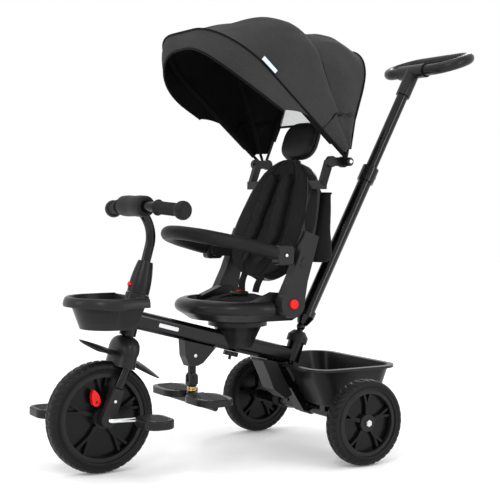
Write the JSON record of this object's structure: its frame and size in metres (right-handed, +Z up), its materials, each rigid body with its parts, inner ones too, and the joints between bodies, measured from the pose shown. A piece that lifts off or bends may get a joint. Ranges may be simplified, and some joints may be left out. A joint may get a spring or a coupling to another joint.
{
  "type": "children's push tricycle",
  "caption": "Children's push tricycle with a swivelling reclining seat, padded guard ring, folding hood, front tray, rear basket and a height-adjusting steering push handle.",
  "frame": {"origin": "on the ground below the middle of the tricycle's bounding box", "axes": "+Z up, the tricycle faces -Y, +X is the child's left"},
  "size_m": [0.5, 1.1216, 1.0173],
  "materials": {
    "foam_tyre": "matt black foam rubber with a moulded tread",
    "rim_plastic": "satin black moulded plastic",
    "black_plastic": "satin black moulded plastic",
    "red_plastic": "red glossy plastic",
    "black_paint": "gloss black powder coat",
    "chrome": "polished chrome",
    "steel": "zinc-plated steel",
    "spring_brass": "yellow zinc-plated spring wire",
    "foam": "soft matt foam",
    "grip_rubber": "textured black rubber",
    "charcoal_fabric": "charcoal woven polyester",
    "liner_fabric": "padded black polyester",
    "grey_plastic": "grey glossy plastic"
  },
  "bodies": {
    "frame": {"head_tube": "black_paint", "head_bushes": "black_plastic", "front_tray": "black_plastic", "main_tube": "black_paint", "handle_socket": "black_paint", "socket_cap": "black_plastic", "rear_leg": "black_paint", "linkage_housing": "black_plastic", "rear_axle_tube": "black_paint", "rear_axle": "steel", "rear_basket": "black_plastic", "foot_bracket": "black_plastic", "seat_pedestal": "black_plastic"},
    "brake": {"brake_pedal": "black_plastic"},
    "clamp_knob": {"seat_clamp_knob": "black_plastic"},
    "rear_wheel_left": {"rear_tyre_left": "foam_tyre", "rear_rim_left": "rim_plastic"},
    "rear_wheel_right": {"rear_tyre_right": "foam_tyre", "rear_rim_right": "rim_plastic"},
    "steering": {"fork": "black_paint", "fork_boots": "black_plastic", "crown_cover": "black_plastic", "mudguard": "black_plastic", "stem_sleeve": "black_plastic"},
    "stem_lock": {"stem_button": "red_plastic"},
    "handlebars": {"handlebar": "black_paint", "handlebar_pad": "foam", "grips": "grip_rubber"},
    "front_wheel": {"front_tyre": "foam_tyre", "front_rim": "rim_plastic"},
    "clutch": {"clutch_lever": "red_plastic"},
    "crankset": {"crank": "chrome"},
    "left_pedal": {"pedal_left": "black_plastic"},
    "right_pedal": {"pedal_right": "black_plastic"},
    "foot_support": {"foot_stem": "black_plastic", "foot_spring": "spring_brass", "footrest": "black_plastic"},
    "seat": {"seat_pan": "black_plastic", "seat_cushion": "liner_fabric"},
    "backrest": {"back_shell": "black_plastic", "back_arms": "black_plastic", "back_liner": "liner_fabric", "headrest": "liner_fabric", "canopy_frame": "black_plastic", "canopy_rear_panel": "charcoal_fabric", "storage_bag": "charcoal_fabric"},
    "recline_lock_left": {"recline_button_left": "red_plastic"},
    "recline_lock_right": {"recline_button_right": "red_plastic"},
    "guard": {"guard_ring": "foam"},
    "guard_lock_left": {"guard_button_left": "black_plastic"},
    "guard_lock_right": {"guard_button_right": "black_plastic"},
    "canopy_middle": {"canopy_mid_bow": "steel"},
    "canopy_front": {"canopy_front_bow": "steel", "canopy_visor": "charcoal_fabric", "canopy_mid_panel": "charcoal_fabric"},
    "push_handle": {"handle_outer_tube": "black_paint"},
    "handle_release": {"handle_release_button": "grey_plastic"},
    "handle_top": {"handle_inner_tube": "black_paint", "push_ring": "black_plastic"},
    "height_lock": {"height_button": "grey_plastic"}
  },
  "joints": [
    {"name": "steering_turn", "type": "hinge", "parent": "frame", "child": "steering", "pos_m": [0, -0.41893, 0.12047], "axis": [0, 0.2588, 0.9659], "range_deg": [-22, 22]},
    {"name": "brake_press", "type": "hinge", "parent": "frame", "child": "brake", "pos_m": [0, 0.12417, 0.1], "axis": [-1, 0, 0], "range_deg": [0, 12]},
    {"name": "clamp_knob_turn", "type": "hinge", "parent": "frame", "child": "clamp_knob", "pos_m": [0, -0.09283, 0.27163], "axis": [0, -0.2468, -0.9691], "continuous": true},
    {"name": "rear_wheel_left_spin", "type": "hinge", "parent": "frame", "child": "rear_wheel_left", "pos_m": [0.229, 0.12417, 0.1], "axis": [1, 0, 0], "continuous": true},
    {"name": "rear_wheel_right_spin", "type": "hinge", "parent": "frame", "child": "rear_wheel_right", "pos_m": [-0.229, 0.12417, 0.1], "axis": [1, 0, 0], "continuous": true},
    {"name": "stem_lock_press", "type": "slide", "parent": "steering", "child": "stem_lock", "axis": [0, 0.9659, -0.2588], "range_m": [0, 0.0015], "stiffness_N_per_m": 600, "springref_m": -0.001},
    {"name": "handlebar_height", "type": "slide", "parent": "steering", "child": "handlebars", "axis": [0, 0.2588, 0.9659], "range_m": [0, 0.03]},
    {"name": "front_wheel_spin", "type": "hinge", "parent": "steering", "child": "front_wheel", "pos_m": [0, -0.43583, 0.125], "axis": [1, 0, 0], "continuous": true},
    {"name": "clutch_turn", "type": "hinge", "parent": "front_wheel", "child": "clutch", "pos_m": [0, -0.45483, 0.162], "axis": [1, 0, 0], "range_deg": [0, 35]},
    {"name": "crank_spin", "type": "hinge", "parent": "steering", "child": "crankset", "pos_m": [0, -0.43583, 0.125], "axis": [1, 0, 0], "continuous": true},
    {"name": "pedal_left_spin", "type": "hinge", "parent": "crankset", "child": "left_pedal", "pos_m": [0.118, -0.36083, 0.125], "axis": [1, 0, 0], "continuous": true},
    {"name": "pedal_right_spin", "type": "hinge", "parent": "crankset", "child": "right_pedal", "pos_m": [-0.118, -0.51083, 0.125], "axis": [1, 0, 0], "continuous": true},
    {"name": "footrest_fold", "type": "hinge", "parent": "frame", "child": "foot_support", "pos_m": [0, -0.20383, 0.197], "axis": [1, 0, 0], "range_deg": [0, 85]},
    {"name": "seat_swivel", "type": "hinge", "parent": "frame", "child": "seat", "pos_m": [0, -0.08083, 0.323], "axis": [0, 0, 1], "range_deg": [0, 180]},
    {"name": "backrest_recline", "type": "hinge", "parent": "seat", "child": "backrest", "pos_m": [0, -0.03183, 0.373], "axis": [1, 0, 0], "range_deg": [-10, 0], "deforming": ["storage_bag"]},
    {"name": "recline_left_press", "type": "slide", "parent": "backrest", "child": "recline_lock_left", "axis": [-1, 0, 0], "range_m": [0, 0.0015], "stiffness_N_per_m": 600, "springref_m": -0.001},
    {"name": "recline_right_press", "type": "slide", "parent": "backrest", "child": "recline_lock_right", "axis": [1, 0, 0], "range_m": [0, 0.0015], "stiffness_N_per_m": 600, "springref_m": -0.001},
    {"name": "guard_ring_lift", "type": "hinge", "parent": "backrest", "child": "guard", "pos_m": [0, -0.05883, 0.485], "axis": [-1, 0, 0], "range_deg": [0, 70]},
    {"name": "guard_left_press", "type": "slide", "parent": "backrest", "child": "guard_lock_left", "axis": [-1, 0, 0], "range_m": [0, 0.0015], "stiffness_N_per_m": 600, "springref_m": -0.001},
    {"name": "guard_right_press", "type": "slide", "parent": "backrest", "child": "guard_lock_right", "axis": [1, 0, 0], "range_m": [0, 0.0015], "stiffness_N_per_m": 600, "springref_m": -0.001},
    {"name": "canopy_fold", "type": "hinge", "parent": "backrest", "child": "canopy_middle", "pos_m": [0, 0.10217, 0.7], "axis": [-1, 0, 0], "range_deg": [0, 30], "deforming": ["canopy_rear_panel"]},
    {"name": "canopy_front_fold", "type": "hinge", "parent": "canopy_middle", "child": "canopy_front", "pos_m": [0, 0.10217, 0.7], "axis": [-1, 0, 0], "range_deg": [0, 22.5], "deforming": ["canopy_mid_panel"]},
    {"name": "push_handle_turn", "type": "hinge", "parent": "frame", "child": "push_handle", "pos_m": [0, 0.10217, 0.3], "axis": [0, 0.342, 0.9397], "range_deg": [-22, 22]},
    {"name": "handle_release_press", "type": "slide", "parent": "frame", "child": "handle_release", "axis": [0, -0.9397, 0.342], "range_m": [0, 0.0015], "stiffness_N_per_m": 600, "springref_m": -0.001},
    {"name": "handle_lower", "type": "slide", "parent": "push_handle", "child": "handle_top", "axis": [0, -0.4695, -0.8829], "range_m": [0, 0.1]},
    {"name": "height_lock_press", "type": "slide", "parent": "push_handle", "child": "height_lock", "axis": [0, -0.8829, 0.4695], "range_m": [0, 0.0015], "stiffness_N_per_m": 600, "springref_m": -0.001}
  ],
  "couplings": [
    {"joint": "crank_spin", "follows": "front_wheel_spin", "ratio": 1},
    {"joint": "push_handle_turn", "follows": "steering_turn", "ratio": 1},
    {"joint": "canopy_front_fold", "follows": "canopy_fold", "ratio": 0.75}
  ]
}
